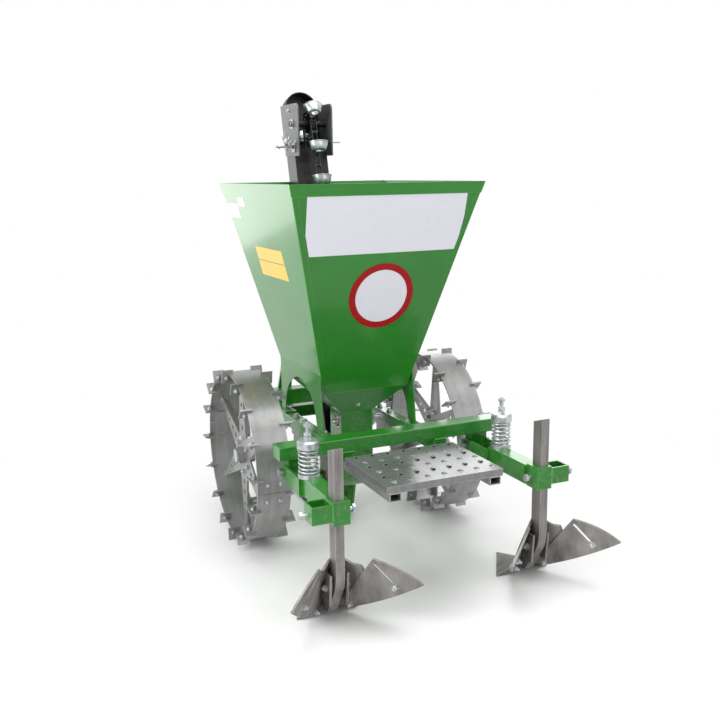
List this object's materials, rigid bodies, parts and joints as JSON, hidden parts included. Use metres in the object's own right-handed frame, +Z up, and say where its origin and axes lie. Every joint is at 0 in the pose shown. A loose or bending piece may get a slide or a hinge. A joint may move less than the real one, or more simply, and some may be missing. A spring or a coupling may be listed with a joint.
{
  "type": "potato planter",
  "caption": "Tractor-mounted potato planter: funnel hopper, leaning cup elevator, lugged steel wheels, rear platform and sprung ridging bodies.",
  "frame": {"origin": "on the ground, at the middle of the bounding box", "axes": "+Z up, +Y the way the machine travels, towards the tractor, +X to the right seen from behind"},
  "size_m": [0.9798, 1.2366, 1.4359],
  "materials": {
    "green_paint": "gloss sprayed paint",
    "black_paint": "satin black paint",
    "galvanised": "dull zinc grey",
    "bare_steel": "matte grey steel",
    "zinc": "bright zinc plate",
    "spring_steel": "zinc plated spring wire",
    "chain_steel": "oiled chain steel"
  },
  "bodies": {
    "frame": {"adjuster_brackets": "galvanised", "agitator_bearings": "galvanised", "agitator_shaft": "zinc", "axle_nuts": "zinc", "bearing_blocks": "galvanised", "clamp_bolts": "zinc", "cup_chain": "chain_steel", "drop_tube": "black_paint", "elevator_boot": "green_paint", "elevator_hood": "black_paint", "front_tie": "green_paint", "furrow_opener": "green_paint", "head_plates": "galvanised", "hinge_lugs": "green_paint", "hitch_beam": "green_paint", "hopper_front_panel": "green_paint", "hopper_funnel": "green_paint", "hopper_left_panel": "green_paint", "hopper_rear_panel": "green_paint", "hopper_right_panel": "green_paint", "left_longitudinal": "green_paint", "left_ridger_arm": "green_paint", "left_ridger_breast": "bare_steel", "left_ridger_wings": "bare_steel", "left_shank": "bare_steel", "left_spring": "spring_steel", "lower_pins": "zinc", "lower_sprocket": "chain_steel", "mast_ears": "green_paint", "mast_legs": "green_paint", "opener_shank": "green_paint", "pivot_bolts": "zinc", "rear_crossbeam": "green_paint", "right_longitudinal": "green_paint", "right_ridger_arm": "green_paint", "right_ridger_breast": "bare_steel", "right_ridger_wings": "bare_steel", "right_shank": "bare_steel", "right_spring": "spring_steel", "spring_caps": "zinc", "spring_seats": "zinc", "spring_studs": "zinc", "step_rails": "galvanised", "step_tray": "galvanised", "stud_anchors": "zinc", "upper_sprocket": "chain_steel", "wheel_axle": "zinc"},
    "left_wheel": {"left_wheel_rim": "galvanised", "left_wheel_star": "galvanised"},
    "right_wheel": {"right_wheel_rim": "galvanised", "right_wheel_star": "galvanised"}
  },
  "joints": [
    {"name": "left_wheel_spin", "type": "hinge", "parent": "frame", "child": "left_wheel", "pos_m": [-0.348, 0.2103, 0.281], "axis": [-1, 0, 0], "continuous": true},
    {"name": "right_wheel_spin", "type": "hinge", "parent": "frame", "child": "right_wheel", "pos_m": [0.348, 0.2103, 0.281], "axis": [-1, 0, 0], "continuous": true}
  ]
}
